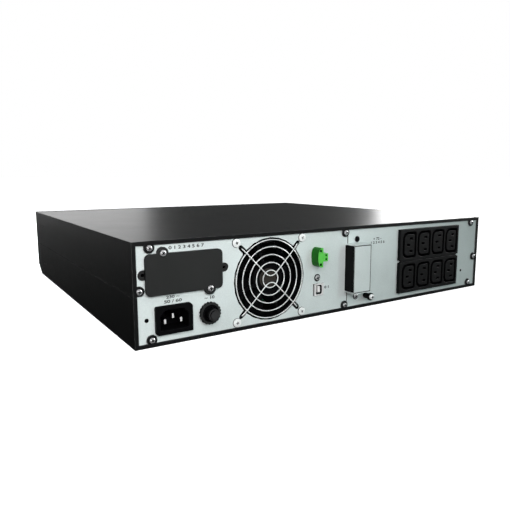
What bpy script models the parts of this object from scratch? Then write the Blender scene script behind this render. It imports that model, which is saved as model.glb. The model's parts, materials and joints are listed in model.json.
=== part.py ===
"""Two-unit rack uninterruptible power supply, built from separate named parts.

The case stands on Z = 0, centred on X and Y. The front bezel faces -Y and the rear panel faces +Y.
All lengths below are in millimetres and become metres when a mesh is made.
"""
import math

import bmesh
import bpy
from mathutils import Matrix

MM = 0.001
GAP = 0.3

# Case
WIDTH = 438.0
HEIGHT = 86.5
HALF = WIDTH / 2
SHEET = 1.2
REAR = 205.0
FRONT = -205.0
BODY_FRONT = -185.0
SEAM = 43.0
FLANGE = 3.5
FLANGE_BACK = REAR - SHEET
PANEL_FACE = FLANGE_BACK - GAP
PANEL_BACK = PANEL_FACE - SHEET
ON_PANEL = PANEL_FACE + GAP
PANEL_SPLIT = -4.3

# Screws that hold the rear panel: (name, x, z, tab on the cover)
CASE_SCREWS = (
    ("case_screw_1", 204.7, 80.9, True),
    ("case_screw_2", 214.0, 46.9, True),
    ("case_screw_3", 204.7, 6.2, False),
    ("case_screw_4", -0.2, 80.5, True),
    ("case_screw_5", -0.3, 6.1, False),
    ("case_screw_6", -203.8, 80.5, True),
    ("case_screw_7", -211.8, 38.2, False),
    ("case_screw_8", -203.8, 6.3, False),
)
TAB_RADIUS = 4.5
SCREW_HEAD = 2.8
SHANK = 1.4
SHANK_HOLE = 1.8

# Front
BEZEL_BACK = BODY_FRONT - GAP
BEZEL_WALL = 2.5
BEZEL_FOOT = 12.5
BEZEL_SPLIT = 0.0
DIAL_X = 42.0
DIAL_Z = 47.5
DIAL_RADIUS = 31.0
WELL_RADIUS = 31.6
BUTTONS = (("button_power", -19.5), ("button_up", -6.5), ("button_down", 6.5), ("button_enter", 19.5))

# Battery bay
TRAY_LEFT = -213.2
TRAY_RIGHT = -8.8
CELL_SIZE = (94.0, 151.0, 65.0)

# Rear fittings, each at its own centre
FAN_X = 89.8
FAN_Z = 43.3
FAN_HALF = 40.0
FAN_PITCH = 35.75
FAN_OPENING = 38.5
FAN_FACE = 200.4
GUARD_WIRE = 0.75
GUARD_RINGS = (8.1, 15.3, 22.5, 29.9, 36.7)
COVER_X = 174.65
COVER_Z = 59.0
COVER_THICK = 2.4
INLET_X = 185.3
INLET_Z = 21.1
BREAKER_X = 152.7
BREAKER_Z = 21.0
EPO_X = 36.5
EPO_Z = 59.6
USB_X = 32.8
USB_Z = 26.2
PORT_X = -12.3
PORT_Z = 44.2
PORT_FACE = 218.0
PORT_SCREWS = (("port_screw_top", -16.6, 72.8), ("port_screw_bottom", -16.6, 12.9))
BOARD_SCREW = (34.8, 38.2)
GROUND_X = -29.7
GROUND_Z = 12.4
OUTLETS_X = -127.3
OUTLETS_HALF = 49.95
SOCKETS_X = -128.0
OUTLET_PITCH = 23.9
OUTLET_FACE = ON_PANEL + 3.8
OUTLET_ROWS = (("outlet_block_lower", 25.8, 1), ("outlet_block_upper", 61.4, -1))

PARTS = bpy.data.collections.new("ups")
CUTTERS = bpy.data.collections.new("cutters")
MATERIALS = {}


def start():
    """Empty the scene and link the two collections."""
    for old in list(bpy.data.objects):
        bpy.data.objects.remove(old, do_unlink=True)
    bpy.context.scene.collection.children.link(PARTS)
    bpy.context.scene.collection.children.link(CUTTERS)


def material(name, colour, roughness, metallic=0.0):
    """Plain surface for one kind of finish."""
    made = bpy.data.materials.new(name)
    made.use_nodes = True
    shader = made.node_tree.nodes["Principled BSDF"]
    shader.inputs["Base Color"].default_value = (*colour, 1.0)
    shader.inputs["Roughness"].default_value = roughness
    shader.inputs["Metallic"].default_value = metallic
    MATERIALS[name] = made


def make_materials():
    """All finishes of the object."""
    material("black_coat", (0.025, 0.026, 0.028), 0.45)
    material("panel_grey", (0.56, 0.60, 0.59), 0.5)
    material("cover_grey", (0.035, 0.035, 0.034), 0.55)
    material("black_plastic", (0.012, 0.012, 0.013), 0.4)
    material("steel", (0.72, 0.73, 0.74), 0.25, 1.0)
    material("zinc_sheet", (0.55, 0.57, 0.58), 0.4, 1.0)
    material("green_plastic", (0.10, 0.55, 0.09), 0.4)
    material("white_plastic", (0.8, 0.8, 0.78), 0.5)
    material("lens", (0.02, 0.03, 0.05), 0.1)
    material("battery_case", (0.05, 0.05, 0.055), 0.6)
    material("board", (0.02, 0.18, 0.07), 0.5)
    material("aluminium", (0.75, 0.76, 0.77), 0.35, 1.0)
    material("copper", (0.55, 0.22, 0.10), 0.4)


def finish(name, mesh, surface, place=(0.0, 0.0, 0.0), round_shape=False):
    """Put a mesh in the scene as one named part, with its origin at place (mm)."""
    mesh.transform(Matrix.Scale(MM, 4))
    made = bpy.data.objects.new(name, mesh)
    made.location = [c * MM for c in place]
    if surface is None:
        CUTTERS.objects.link(made)
        made.hide_render = True
        made.display_type = "WIRE"
    else:
        PARTS.objects.link(made)
        mesh.materials.append(MATERIALS[surface])
    if round_shape:
        mesh.shade_smooth()
        mesh.set_sharp_from_angle(angle=math.radians(35))
    return made


def solid_box(name, low, high, surface=None, place=(0.0, 0.0, 0.0)):
    """Box between two corners, given in the case's frame."""
    shape = bmesh.new()
    size = [h - l for l, h in zip(low, high)]
    centre = [(h + l) / 2 - p for l, h, p in zip(low, high, place)]
    grow = Matrix.Translation(centre) @ Matrix.Diagonal((*size, 1.0))
    bmesh.ops.create_cube(shape, size=1.0, matrix=grow)
    mesh = bpy.data.meshes.new(name)
    shape.to_mesh(mesh)
    shape.free()
    return finish(name, mesh, surface, place)


def drum(name, x, z, back, front, radius, surface=None, steps=24, nose=None, place=(0.0, 0.0, 0.0)):
    """Round bar along Y, with an optional smaller front radius."""
    shape = bmesh.new()
    stand = Matrix.Translation((x - place[0], (back + front) / 2 - place[1], z - place[2]))
    turn = Matrix.Rotation(math.radians(-90), 4, "X")
    bmesh.ops.create_cone(
        shape,
        cap_ends=True,
        segments=steps,
        radius1=radius,
        radius2=radius if nose is None else nose,
        depth=front - back,
        matrix=stand @ turn,
    )
    mesh = bpy.data.meshes.new(name)
    shape.to_mesh(mesh)
    shape.free()
    return finish(name, mesh, surface, place, round_shape=True)


def mesh_of(curve, name, matrix=None):
    """Closed mesh of a curve, with its seams welded."""
    holder = bpy.data.objects.new(name, curve)
    PARTS.objects.link(holder)
    bpy.context.view_layer.update()
    graph = bpy.context.evaluated_depsgraph_get()
    mesh = bpy.data.meshes.new_from_object(holder.evaluated_get(graph))
    shape = bmesh.new()
    shape.from_mesh(mesh)
    bmesh.ops.remove_doubles(shape, verts=shape.verts, dist=0.001)
    bmesh.ops.recalc_face_normals(shape, faces=shape.faces)
    shape.to_mesh(mesh)
    shape.free()
    if matrix is not None:
        mesh.transform(matrix)
    bpy.data.objects.remove(holder, do_unlink=True)
    mesh.name = name
    return mesh


def prism(name, rings, back, front, surface=None, along="Y", place=(0.0, 0.0, 0.0), smooth=False):
    """Flat outline with holes, extruded between two depths.

    Along Y the outline is in (x, z); along X it is in (y, z).
    """
    curve = bpy.data.curves.new(name, "CURVE")
    curve.dimensions = "2D"
    curve.fill_mode = "BOTH"
    curve.extrude = (front - back) / 2
    for ring in rings:
        spline = curve.splines.new("POLY")
        spline.points.add(len(ring) - 1)
        for point, (a, b) in zip(spline.points, ring):
            point.co = (a, b, 0.0, 1.0)
        spline.use_cyclic_u = True
    middle = (front + back) / 2
    if along == "Y":
        turn = Matrix(((1, 0, 0, 0), (0, 0, -1, middle), (0, 1, 0, 0), (0, 0, 0, 1)))
    else:
        turn = Matrix(((0, 0, 1, middle), (1, 0, 0, 0), (0, 1, 0, 0), (0, 0, 0, 1)))
    shift = Matrix.Translation([-p for p in place])
    return finish(name, mesh_of(curve, name, shift @ turn), surface, place, smooth)


def rod(name, path, radius, surface=None, closed=False):
    """Round wire along a path of points."""
    curve = bpy.data.curves.new(name, "CURVE")
    curve.dimensions = "3D"
    curve.bevel_depth = radius
    curve.bevel_resolution = 1
    curve.use_fill_caps = not closed
    spline = curve.splines.new("POLY")
    spline.points.add(len(path) - 1)
    for point, co in zip(spline.points, path):
        point.co = (*co, 1.0)
    spline.use_cyclic_u = closed
    return finish(name, mesh_of(curve, name), surface, round_shape=True)


def turned(name, profile, x, y, z, surface, steps=16):
    """Solid of revolution about Y: profile of (radius, distance along +Y)."""
    mesh = bpy.data.meshes.new(name)
    points = [(radius, 0.0, along) for radius, along in profile]
    edges = [(i, i + 1) for i in range(len(points) - 1)]
    mesh.from_pydata(points, edges, [])
    made = finish(name, mesh, surface, (x, y, z))
    made.rotation_euler = (math.radians(-90), 0.0, 0.0)
    spin = made.modifiers.new("turn", "SCREW")
    spin.axis = "Z"
    spin.steps = steps
    spin.render_steps = steps
    spin.use_merge_vertices = True
    spin.merge_threshold = 0.00005
    spin.use_smooth_shade = True
    return made


def combine(target, operation, *others):
    """Boolean modifiers on one part, one for each other shape."""
    for other in others:
        if other.name not in CUTTERS.objects:
            PARTS.objects.unlink(other)
            CUTTERS.objects.link(other)
            other.hide_render = True
            other.display_type = "WIRE"
        change = target.modifiers.new(other.name, "BOOLEAN")
        change.operation = operation
        change.solver = "EXACT"
        change.object = other
    return target


def cut(target, *others):
    """Take shapes away from a part."""
    return combine(target, "DIFFERENCE", *others)


def fuse(target, *others):
    """Join shapes to a part as one body."""
    return combine(target, "UNION", *others)


def rectangle(x0, x1, z0, z1):
    """Corners of a rectangle."""
    return [(x0, z0), (x1, z0), (x1, z1), (x0, z1)]


def rounded(x0, x1, z0, z1, radius, steps=4):
    """Rectangle with round corners."""
    ring = []
    corners = ((x1 - radius, z0 + radius, -90), (x1 - radius, z1 - radius, 0),
               (x0 + radius, z1 - radius, 90), (x0 + radius, z0 + radius, 180))
    for cx, cz, first in corners:
        for step in range(steps + 1):
            angle = math.radians(first + 90 * step / steps)
            ring.append((cx + radius * math.cos(angle), cz + radius * math.sin(angle)))
    return ring


def circle(x, z, radius, steps=24):
    """Points round a circle."""
    turns = [math.tau * step / steps for step in range(steps)]
    return [(x + radius * math.cos(turn), z + radius * math.sin(turn)) for turn in turns]


def pan_screw(name, x, z, seat, end, head=SCREW_HEAD, shank=SHANK, tall=1.8, surface="steel"):
    """Cross-recess screw whose head rests just off a face and whose shank runs inwards."""
    profile = ((0.0, tall), (head * 0.78, tall * 0.8), (head, 0.0), (shank, 0.0), (shank, end - seat),
               (0.0, end - seat))
    made = turned(name, profile, x, seat, z, surface, 10)
    arm = head * 0.54
    root = head * 0.16
    tip = head * 0.11
    cross = ((-arm, -tip), (-root, -root), (-tip, -arm), (tip, -arm), (root, -root), (arm, -tip),
             (arm, tip), (root, root), (tip, arm), (-tip, arm), (-root, root), (-arm, tip))
    ring = [(x + a, z + b) for a, b in cross]
    return cut(made, prism(name + "_recess", [ring], seat + tall * 0.35, seat + tall + 1.0))


def rear_window(name, low, high, on_cover):
    """Cutter for the opening inside the rear flange, which leaves the round screw tabs."""
    side = HALF - FLANGE
    window = prism(name, [rectangle(-side, side, low, high)], FLANGE_BACK - 2, REAR + 2)
    for screw, x, z, above in CASE_SCREWS:
        if above == on_cover:
            cut(window, drum(screw + "_tab", x, z, FLANGE_BACK - 5, REAR + 5, TAB_RADIUS, steps=16))
    return window


def make_case():
    """Lower tray, upper cover, inner wall and the screws at the rear."""
    low = SEAM - GAP / 2
    high = SEAM + GAP / 2
    inside = HALF - SHEET
    wall_top = HEIGHT - SHEET - GAP
    tray = solid_box("base_tray", (-HALF, BODY_FRONT, 0.0), (HALF, REAR, wall_top), "black_coat")
    cover = solid_box("top_cover", (-HALF, BODY_FRONT, high), (HALF, REAR, HEIGHT), "black_coat")
    cut(
        tray,
        solid_box("tray_inside", (-inside, BODY_FRONT + SHEET, SHEET), (inside, FLANGE_BACK, HEIGHT + 5)),
        solid_box("tray_above", (-HALF - 5, BODY_FRONT + SHEET, low), (HALF + 5, REAR + 5, HEIGHT + 6)),
        solid_box("tray_side_l", (-HALF - 6, BODY_FRONT - 5, low),
                  (-inside + GAP, BODY_FRONT + 5, HEIGHT + 7)),
        solid_box("tray_side_r", (inside - GAP, BODY_FRONT - 5, low),
                  (HALF + 6, BODY_FRONT + 5, HEIGHT + 7)),
        rear_window("tray_window", FLANGE, SEAM + 20, False),
    )
    cut(
        cover,
        solid_box("cover_inside", (-inside, BODY_FRONT - 5, -5), (inside, FLANGE_BACK, HEIGHT - SHEET)),
        rear_window("cover_window", SEAM - 20, HEIGHT - FLANGE, True),
    )
    openings = [
        rectangle(TRAY_LEFT - 0.4, TRAY_RIGHT + 0.4, 6.5, 76.0),
        rectangle(24.0, 60.0, 30.0, 66.0),
        rectangle(88.0, 204.0, 14.0, 76.0),
    ]
    cut(tray, prism("front_openings", openings, BODY_FRONT - 4, BODY_FRONT + 4))
    for side, x in (("l", -190.0), ("r", -42.0)):
        fuse(tray, solid_box("runner_" + side, (x, -170.0, 0.6), (x + 12.0, 130.0, 6.6)))
    for name, x, z, on_cover in CASE_SCREWS:
        hole = drum(name + "_hole", x, z, FLANGE_BACK - 3, REAR + 3, SHANK_HOLE, steps=8)
        cut(cover if on_cover else tray, hole)
        pan_screw(name, x, z, REAR + GAP, REAR - 9.0)
    for side in (-1, 1):
        for y in (-162.0, -150.0):
            for z in (19.5, 69.0):
                hole = prism("ear_hole", [circle(y, z, 1.4, 8)], side * HALF - 4, side * HALF + 4, along="X")
                cut(cover if z > SEAM else tray, hole)
    solid_box("inner_wall", (-6.6, -183.4, 1.5), (-5.4, 190.0, wall_top), "zinc_sheet")


def fan_cutout():
    """Round opening with a slot on each diagonal."""
    half = 2.4
    ring = []
    spread = math.asin(half / FAN_OPENING)
    end = 46.5 - half
    for quarter in range(4):
        axis = math.radians(45 + 90 * quarter)
        for step in range(1, 6):
            turn = axis - math.pi / 2 + spread + (math.pi / 2 - 2 * spread) * step / 6
            ring.append((FAN_OPENING * math.cos(turn), FAN_OPENING * math.sin(turn)))
        ring.append((FAN_OPENING * math.cos(axis - spread), FAN_OPENING * math.sin(axis - spread)))
        for step in range(5):
            turn = axis - math.pi / 2 + math.pi * step / 4
            ring.append((end * math.cos(axis) + half * math.cos(turn),
                         end * math.sin(axis) + half * math.sin(turn)))
        ring.append((FAN_OPENING * math.cos(axis + spread), FAN_OPENING * math.sin(axis + spread)))
    return [(FAN_X + x, FAN_Z + z) for x, z in ring]


def slot_cutout():
    """Card slot opening with a round bay at each end for the card's screws."""
    ring = [(144.0, 47.0), (204.0, 47.0)]
    ring += bay(204.0, 210.2, 59.4, 4.3, -90)
    ring += [(204.0, 71.5), (144.0, 71.5)]
    ring += bay(144.0, 137.6, 58.9, 4.1, 90)
    return ring


def bay(neck, x, z, radius, first):
    """Straight neck that ends in a half circle."""
    turns = [math.radians(first + 180 * step / 8) for step in range(9)]
    arc = [(x + radius * math.cos(turn), z + radius * math.sin(turn)) for turn in turns]
    return [(neck, arc[0][1]), *arc, (neck, arc[-1][1])]


def make_panels():
    """Grey rear panel in two pieces, cut for every fitting."""
    holes = {1: [], -1: []}
    for _, x, z, _ in CASE_SCREWS:
        side = -1 if x < -50 else 1
        if abs(x) > 5:
            holes[side].append(circle(x, z, SHANK_HOLE, 8))
    left = [
        *holes[1],
        fan_cutout(),
        slot_cutout(),
        circle(193.9, 76.3, SHANK_HOLE, 8),
        circle(152.5, 42.7, SHANK_HOLE, 8),
        rectangle(INLET_X - 14.6, INLET_X + 14.6, INLET_Z - 10.6, INLET_Z + 10.6),
        circle(BREAKER_X, BREAKER_Z, 5.5, 20),
        circle(208.2, 22.6, 1.9, 12),
        rectangle(EPO_X - 4.7, EPO_X + 4.7, EPO_Z - 3.7, EPO_Z + 3.7),
        rectangle(USB_X - 6.3, USB_X + 6.9, USB_Z - 6.5, USB_Z + 6.4),
        circle(*BOARD_SCREW, SHANK_HOLE, 8),
        circle(-0.2, 80.5, SHANK_HOLE, 8),
        circle(-0.3, 6.1, SHANK_HOLE, 8),
    ]
    for dx in (-FAN_PITCH, FAN_PITCH):
        for dz in (-FAN_PITCH, FAN_PITCH):
            left.append(circle(FAN_X + dx, FAN_Z + dz, 2.2, 8))
    right = [
        *holes[-1],
        circle(-190.4, 22.3, 1.7, 12),
        *[circle(x, z, SHANK_HOLE, 8) for _, x, z in PORT_SCREWS],
        circle(GROUND_X, GROUND_Z, 2.3, 12),
    ]
    for _, z, _ in OUTLET_ROWS:
        right.append(rectangle(OUTLETS_X - 48.3, OUTLETS_X + 48.3, z - 16.1, z + 16.1))
    edge = HALF - SHEET - GAP
    top = HEIGHT - SHEET - GAP
    low = SHEET + GAP
    prism("rear_panel_left", [rectangle(PANEL_SPLIT + 0.5, edge, low, top), *left],
          PANEL_BACK, PANEL_FACE, "panel_grey")
    prism("rear_panel_right", [rectangle(-edge, PANEL_SPLIT - 0.5, low, top), *right],
          PANEL_BACK, PANEL_FACE, "panel_grey")


def make_card_slot():
    """Blanking plate of the card slot, its screws and the cage behind it."""
    ears = ((193.9, 76.3, 4.9, "slot_screw_1"), (152.5, 42.7, 5.4, "slot_screw_2"))
    outline = rounded(COVER_X - 34.15, COVER_X + 34.15, COVER_Z - 17.0, COVER_Z + 17.0, 4.0, 3)
    face = ON_PANEL + COVER_THICK
    plate = prism("slot_cover", [outline], ON_PANEL, face, "cover_grey")
    for x, z, radius, name in ears:
        fuse(plate, drum(name + "_ear", x, z, ON_PANEL, face, radius, steps=16))
        cut(plate, drum(name + "_hole", x, z, ON_PANEL - 2, face + 2, SHANK_HOLE, steps=8))
        pan_screw(name, x, z, face + GAP, 198.0, head=3.0)
    front = PANEL_BACK - GAP
    cage = prism("slot_cage", [rectangle(140.5, 207.5, 45.4, 73.2)], front - SHEET, front, "black_coat")
    for side, x, z, inner in (("l", 137.6, 58.9, 146.0), ("r", 210.2, 59.4, 202.0)):
        low, high = sorted((x, inner))
        fuse(
            cage,
            drum("cage_ear_" + side, x, z, front - SHEET, PANEL_FACE - 0.1, 3.8, steps=20),
            solid_box("cage_neck_" + side, (low, front - 0.6, z - 3.7), (high, PANEL_FACE - 0.2, z + 3.7)),
        )
        cut(cage, drum("cage_thread_" + side, x, z, front - 4, front + 4, 1.5, steps=12))
    cut(cage, solid_box("cage_mouth", (146.5, front - 4, 49.0), (201.5, front + 4, 69.5)))
    for side, x in (("l", 142.0), ("r", 204.8)):
        fuse(cage, solid_box("cage_rail_" + side, (x, 110.0, 50.0), (x + SHEET, front - 0.6, 68.0)))


def make_inlet():
    """Mains inlet with three flat pins."""
    x, z = INLET_X, INLET_Z
    bezel = [(x - 16.3, z - 12.2), (x + 14.1, z - 12.2), (x + 16.3, z - 10.0), (x + 16.3, z + 11.4),
             (x + 15.5, z + 12.2), (x - 13.8, z + 12.2), (x - 16.3, z + 9.7)]
    body = prism("inlet_body", [bezel], ON_PANEL, ON_PANEL + 2.4, "black_plastic")
    fuse(body, solid_box("inlet_back", (x - 14.2, 181.0, z - 10.2), (x + 14.2, ON_PANEL + 0.6, z + 10.2)))
    mouth = [(x - 12.4, z - 8.4), (x + 12.4, z - 8.4), (x + 12.4, z + 3.6), (x + 7.6, z + 8.4),
             (x - 7.6, z + 8.4), (x - 12.4, z + 3.6)]
    cut(body, prism("inlet_mouth", [mouth], 188.0, ON_PANEL + 6))
    for name, dx, dz in (("line", 7.0, -2.0), ("earth", 0.0, 2.0), ("neutral", -7.0, -2.0)):
        low = (x + dx - 1.0, 176.0, z + dz - 2.0)
        high = (x + dx + 1.0, 202.6, z + dz + 2.0)
        room = GAP
        cut(body, solid_box("pin_way_" + name, (low[0] - room, 175.0, low[2] - room),
                            (high[0] + room, 190.0, high[2] + room)))
        solid_box("inlet_pin_" + name, low, high, "steel")


def make_breaker():
    """Push-to-reset breaker held by a knurled nut."""
    x, z = BREAKER_X, BREAKER_Z
    body = drum("breaker_body", x, z, 170.0, PANEL_BACK - GAP, 8.0, "black_plastic")
    fuse(body, drum("breaker_neck", x, z, 195.0, PANEL_FACE + 9.6, 5.1))
    cut(body, drum("breaker_bore", x, z, 185.0, PANEL_FACE + 12, 4.0))
    teeth = 20
    ring = []
    for step in range(teeth * 2):
        radius = 9.9 if step % 2 else 9.2
        turn = math.tau * step / (teeth * 2)
        ring.append((x + radius * math.cos(turn), z + radius * math.sin(turn)))
    nut = prism("breaker_nut", [ring, circle(x, z, 5.5)], ON_PANEL, ON_PANEL + 3.0, "black_plastic")
    cut(nut, prism("nut_step", [circle(x, z, 7.6), circle(x, z, 5.2)], ON_PANEL + 2.2, ON_PANEL + 5))
    drum("breaker_button", x, z, 186.0, PANEL_FACE + 10.8, 3.7, "black_plastic", place=(x, PANEL_FACE, z))


def make_fan():
    """Square fan with its stator, rotor, wire guard and screws."""
    x, z = FAN_X, FAN_Z
    back = FAN_FACE - 25.0
    corners = [(x + dx, z + dz) for dx in (-FAN_PITCH, FAN_PITCH) for dz in (-FAN_PITCH, FAN_PITCH)]
    ring = rounded(x - FAN_HALF, x + FAN_HALF, z - FAN_HALF, z + FAN_HALF, 4.0, 2)
    frame = prism("fan_frame", [ring, circle(x, z, 38.0, 28), *[circle(a, b, 2.2, 8) for a, b in corners]],
                  back, FAN_FACE, "black_plastic")
    hub = drum("stator_hub", x, z, FAN_FACE - 3.2, FAN_FACE - 0.4, 16.0)
    for step in range(4):
        strut = solid_box("strut_%d" % step, (-1.6, FAN_FACE - 3.0, 12.0), (1.6, FAN_FACE - 0.6, 38.8),
                          place=(0.0, 0.0, 0.0))
        strut.location = (x * MM, 0.0, z * MM)
        strut.rotation_euler = (0.0, math.radians(20 + 90 * step), 0.0)
        fuse(hub, strut)
    fuse(frame, hub)
    spin = (x, back + 11.0, z)
    rotor = drum("fan_rotor", x, z, back + 1.5, FAN_FACE - 3.6, 15.0, "black_plastic", place=spin)
    for step in range(7):
        make_blade(rotor, step, spin)
    for index, (a, b) in enumerate(corners):
        pan_screw("fan_screw_%d" % (index + 1), a, b, ON_PANEL, 193.0, head=3.9, shank=1.9, tall=1.4)
    make_guard(corners)


def make_blade(rotor, step, spin):
    """One raked fan blade, fused to the hub."""
    blade = bpy.data.meshes.new("blade_%d" % step)
    shape = bmesh.new()
    bmesh.ops.create_cube(shape, size=1.0, matrix=Matrix.Diagonal((21.0, 1.6, 21.0, 1.0)))
    for vert in shape.verts:
        outward = vert.co.z > 0
        lean = math.radians(28 if outward else 42)
        vert.co = Matrix.Rotation(lean, 4, "Z") @ vert.co
        if outward:
            vert.co.x += 4.0
    bmesh.ops.translate(shape, verts=shape.verts, vec=(0.0, 0.0, 24.0))
    shape.to_mesh(blade)
    shape.free()
    made = finish("blade_%d" % step, blade, None, spin)
    made.rotation_euler = (0.0, math.tau * step / 7, 0.0)
    fuse(rotor, made)


def make_guard(corners):
    """Wire guard: rings welded to two bent diagonal wires that loop round the fan screws."""
    x, z = FAN_X, FAN_Z
    ring_y = 203.7
    wire_y = 204.8
    foot_y = 201.35
    for side in (1, -1):
        path = [(-34.0, foot_y, 34.0), (-32.0, foot_y, 32.0), (-30.4, wire_y, 30.4), (-7.2, wire_y, 7.2)]
        for step in range(1, 6):
            turn = math.radians(-45 + 90 * step / 6)
            path.append((8.6 * math.sin(turn) * 1.18, wire_y, 7.2 - (math.cos(turn) - 0.7071) * 14.0))
        path += [(7.2, wire_y, 7.2), (30.4, wire_y, 30.4), (32.0, foot_y, 32.0), (34.0, foot_y, 34.0)]
        points = [(x + a, y, z + side * b) for a, y, b in path]
        if side > 0:
            guard = rod("fan_guard", points, GUARD_WIRE, "steel")
        else:
            fuse(guard, rod("guard_wire", points, GUARD_WIRE))
    for index, (a, b) in enumerate(corners):
        points = [(px, foot_y, pz) for px, pz in circle(a, b, 2.95, 8)]
        fuse(guard, rod("guard_loop_%d" % index, points, GUARD_WIRE, closed=True))
    for radius in GUARD_RINGS:
        steps = 12 + int(radius * 0.45)
        points = [(px, ring_y, pz) for px, pz in circle(x, z, radius, steps)]
        fuse(guard, rod("guard_ring_%d" % int(radius), points, GUARD_WIRE, closed=True))


def make_signal_ports():
    """Pluggable two-way terminal, its header, the data port and its screw."""
    x, z = EPO_X, EPO_Z
    behind = PANEL_BACK - GAP
    header = solid_box("epo_header", (x - 6.0, 188.0, z - 9.2), (x + 6.0, behind, z + 9.2), "green_plastic")
    cut(header, solid_box("header_well", (x - 4.8, 192.0, z - 4.4), (x + 4.8, 208.0, z + 4.4)))
    front = 214.5
    ring = [(-0.1, -9.3), (2.2, -9.3), (4.6, -7.9), (5.8, -4.2), (6.1, 0.0)]
    ring += [(a, -b) for a, b in reversed(ring[:-1])]
    outline = [(x + a, z + b) for a, b in ring]
    plug = prism("epo_plug", [outline], ON_PANEL, front, "green_plastic", place=(x, ON_PANEL, z))
    fuse(plug, solid_box("plug_body", (x - 5.9, ON_PANEL, z - 3.9), (x + 1.0, front, z + 3.9)))
    fuse(plug, solid_box("plug_nose", (x - 4.3, 196.0, z - 3.4), (x + 4.3, ON_PANEL + 1.0, z + 3.4)))
    for side in (-1, 1):
        tag = "low" if side < 0 else "high"
        cut(plug, drum("plug_screw_" + tag, x + 2.9, z + side * 6.6, front - 1.9, 216.0, 1.5, steps=10))
        cut(plug, drum("plug_wire_" + tag, x - 3.6, z + side * 1.9, 206.5, 216.0, 1.2, steps=10))
    x, z = USB_X, USB_Z
    shell = solid_box("usb_shell", (x - 5.9, 187.0, z - 6.1), (x + 5.4, 204.2, z + 6.0), "steel")
    mouth = [(x - 3.5, z - 3.3), (x - 2.3, z - 4.5), (x + 3.5, z - 4.5),
             (x + 3.5, z + 4.5), (x - 2.3, z + 4.5), (x - 3.5, z + 3.3)]
    cut(shell, prism("usb_mouth", [mouth], 192.0, 208.0))
    cut(shell, solid_box("tongue_way", (x - 2.3, 190.0, z - 3.3), (x + 1.3, 193.0, z + 3.3)))
    solid_box("usb_tongue", (x - 2.0, 190.3, z - 3.0), (x + 1.0, 203.2, z + 3.0), "white_plastic")
    pan_screw("board_screw", *BOARD_SCREW, ON_PANEL, 196.0, head=3.0)


def make_battery_port():
    """Black connector for an outside battery, its grey cover and screws, and the ground terminal."""
    x, z = PORT_X, PORT_Z
    solid_box("battery_port", (x - 10.1, ON_PANEL, z - 23.4), (x + 11.3, PORT_FACE - 1.4, z + 23.4),
              "black_plastic")
    shell = solid_box("battery_port_cover", (x - 11.4, ON_PANEL, z - 24.9), (x + 11.4, PORT_FACE, z + 24.9),
                      "panel_grey")
    groove = [(x + 20.0, z + 24.0), (x - 10.9, z + 24.0), (x - 10.9, z - 24.0), (x + 20.0, z - 24.0),
              (x + 20.0, z - 23.3), (x - 10.2, z - 23.3), (x - 10.2, z + 23.3), (x + 20.0, z + 23.3)]
    cut(
        shell,
        solid_box("cover_room", (x - 10.4, ON_PANEL - 5, z - 23.8), (x + 22.0, PORT_FACE - 1.1, z + 23.8)),
        prism("cover_groove", [groove], PORT_FACE - 0.5, PORT_FACE + 2),
    )
    for name, at_x, at_z in PORT_SCREWS:
        if at_z > z:
            pan_screw(name, at_x, at_z, ON_PANEL, 198.0, head=3.5, surface="black_plastic")
        else:
            pan_screw(name, at_x, at_z, ON_PANEL, 198.0, head=3.0)
    x, z = GROUND_X, GROUND_Z
    nut = drum("ground_nut", x, z, 211.0, 213.0, 3.9, "black_coat", steps=20)
    fuse(nut, drum("ground_spacer", x, z, ON_PANEL, 211.5, 2.9, steps=16))
    cut(nut, drum("ground_bore", x, z, 200.0, 216.0, 1.7, steps=12))
    pan_screw("ground_terminal", x, z, 213.3, 192.0, head=3.3, shank=1.3, tall=2.6)


def socket(x, z, width, height, lead, trail):
    """Outline of one outlet: large corners towards +X, small ones towards -X."""
    ring = []
    corners = ((x + width, z - height, lead, -90), (x + width, z + height, lead, 0),
               (x - width, z + height, trail, 90), (x - width, z - height, trail, 180))
    for cx, cz, radius, first in corners:
        mid_x = cx - math.copysign(radius, cx - x)
        mid_z = cz - math.copysign(radius, cz - z)
        for step in range(4):
            turn = math.radians(first + 90 * step / 3)
            ring.append((mid_x + radius * math.cos(turn), mid_z + radius * math.sin(turn)))
    return ring


def make_outlets():
    """Two blocks of four recessed outlets, notched at both ends of the seam between them."""
    for name, z, seam in OUTLET_ROWS:
        low = OUTLETS_X - OUTLETS_HALF
        high = OUTLETS_X + OUTLETS_HALF
        block = solid_box(name, (low, ON_PANEL, z - 17.6), (high, OUTLET_FACE, z + 17.6), "black_plastic")
        fuse(block, solid_box(name + "_back", (OUTLETS_X - 48.0, 184.0, z - 15.8),
                              (OUTLETS_X + 48.0, ON_PANEL + 0.6, z + 15.8)))
        for side, x in (("l", high), ("r", low)):
            edge = z + seam * 17.6
            cut(block, solid_box(name + "_notch_" + side, (x - 2.6, ON_PANEL - 1, edge - 1.1),
                                 (x + 2.6, OUTLET_FACE + 2, edge + 1.1)))
        moats = []
        slots = []
        for step in range(4):
            x = SOCKETS_X + (step - 1.5) * OUTLET_PITCH
            moats.append(socket(x, z, 10.9, 14.5, 7.0, 3.2))
            moats.append(socket(x, z, 8.1, 11.7, 4.8, 1.8))
            for dx, dz in ((1.8, 0.0), (-2.4, 7.0), (-2.4, -7.0)):
                slots.append(rectangle(x + dx - 2.3, x + dx + 2.3, z + dz - 1.3, z + dz + 1.3))
        cut(block, prism(name + "_moats", moats, 191.0, 212.0), prism(name + "_slots", slots, 190.0, 212.0))


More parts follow.
